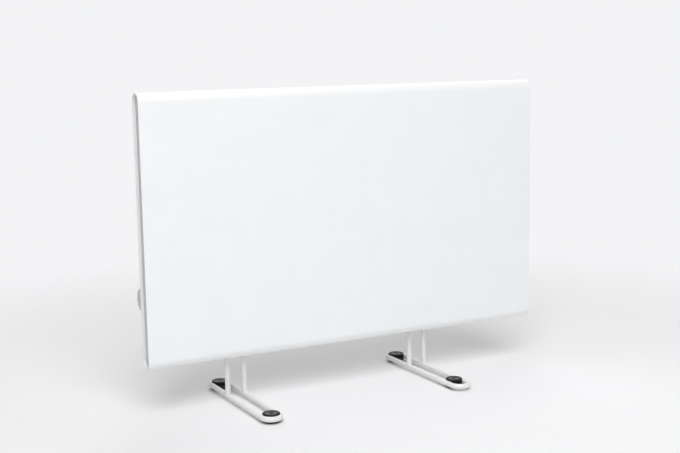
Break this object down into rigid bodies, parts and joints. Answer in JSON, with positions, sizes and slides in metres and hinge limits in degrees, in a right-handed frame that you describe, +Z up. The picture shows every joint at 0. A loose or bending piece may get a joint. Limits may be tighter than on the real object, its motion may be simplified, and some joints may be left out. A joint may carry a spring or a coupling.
{
  "type": "convector heater",
  "caption": "Slim white panel convector heater with rounded top and bottom edges, standing on two bent rod loops with black rubber feet and a turning thermostat dial.",
  "frame": {"origin": "on the floor, under the middle of the casing's width and of the stands' depth", "axes": "+Z up; +X along the casing, to the right as seen from the front; the casing's front faces -Y"},
  "size_m": [0.623, 0.2136, 0.4371],
  "materials": {
    "white_coat": "smooth white powder coat, satin",
    "plate_coat": "white powder coat, satin",
    "stand_coat": "white powder coat on bent rod, satin",
    "bracket_plastic": "moulded white plastic",
    "box_plastic": "moulded white plastic",
    "cap_plastic": "moulded light grey plastic, fine grain",
    "dial_plastic": "moulded light grey plastic, semi-gloss",
    "element_steel": "drawn stainless steel",
    "fin_aluminium": "rolled aluminium sheet",
    "zinc_steel": "zinc-plated steel",
    "dark_plastic": "black phenolic moulding",
    "block_plastic": "cream nylon",
    "grommet_rubber": "black rubber",
    "wire_skin": "white silicone insulation",
    "foot_plastic": "black moulded rubber, slight sheen",
    "foot_rubber": "black rubber",
    "dark_steel": "blackened steel"
  },
  "bodies": {
    "heater": {"front_cover": "white_coat", "back_plate": "plate_coat", "end_cap_left": "cap_plastic", "end_cap_right": "cap_plastic", "heating_element": "element_steel", "element_fins": "fin_aluminium", "element_bracket_left": "zinc_steel", "element_bracket_right": "zinc_steel", "heat_shield": "fin_aluminium", "shield_rivets": "fin_aluminium", "thermal_cutout": "zinc_steel", "cutout_screws": "zinc_steel", "control_box": "box_plastic", "box_screws": "zinc_steel", "thermostat_body": "dark_plastic", "thermostat_nut": "zinc_steel", "wire_grommet": "grommet_rubber", "terminal_block": "block_plastic", "cord_inlet": "box_plastic", "element_wire_short": "wire_skin", "element_wire_long": "wire_skin", "stand_rod_left": "stand_coat", "stand_rod_right": "stand_coat", "stand_bracket_left_lower": "bracket_plastic", "stand_bracket_left_upper": "bracket_plastic", "stand_bracket_right_lower": "bracket_plastic", "stand_bracket_right_upper": "bracket_plastic", "bracket_bolts": "zinc_steel", "bracket_nuts": "zinc_steel", "case_screws": "zinc_steel", "element_screws": "zinc_steel", "foot_cap_left_front": "foot_plastic", "foot_cap_left_rear": "foot_plastic", "foot_cap_right_front": "foot_plastic", "foot_cap_right_rear": "foot_plastic", "foot_pad_left_front": "foot_rubber", "foot_pad_left_rear": "foot_rubber", "foot_pad_right_front": "foot_rubber", "foot_pad_right_rear": "foot_rubber", "foot_screws": "dark_steel"},
    "dial": {"thermostat_dial": "dial_plastic", "dial_spindle": "element_steel"}
  },
  "joints": [
    {"name": "dial_turn", "type": "hinge", "parent": "heater", "child": "dial", "pos_m": [-0.2985, 0.0403, 0.1566], "axis": [1, 0, 0], "range_deg": [0, 270]}
  ]
}
